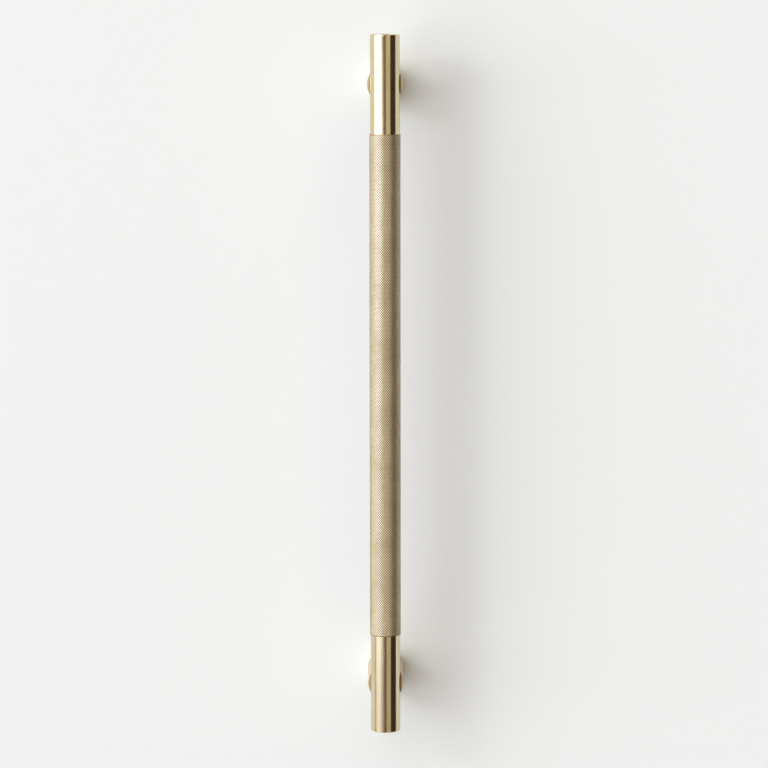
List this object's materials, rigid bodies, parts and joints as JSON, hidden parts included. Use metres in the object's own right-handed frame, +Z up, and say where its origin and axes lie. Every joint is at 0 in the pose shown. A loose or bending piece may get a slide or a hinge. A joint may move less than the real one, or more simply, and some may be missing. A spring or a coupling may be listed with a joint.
{
  "type": "door pull",
  "caption": "Round bar pull with a diamond-knurled grip between plain ends, held off the door by cylindrical saddle posts with tapped feet.",
  "frame": {"origin": "on the door's face, midway between the two door screws", "axes": "+Z up along the bar, +Y into the door, so the bar stands out towards -Y"},
  "size_m": [0.0154, 0.04, 0.298],
  "materials": {
    "brass": "satin, fine turning marks, knurled grip",
    "steel": "black oxide"
  },
  "bodies": {
    "root": {"bar": "brass", "upper_post": "brass", "lower_post": "brass", "grub_screws": "steel"}
  },
  "joints": []
}
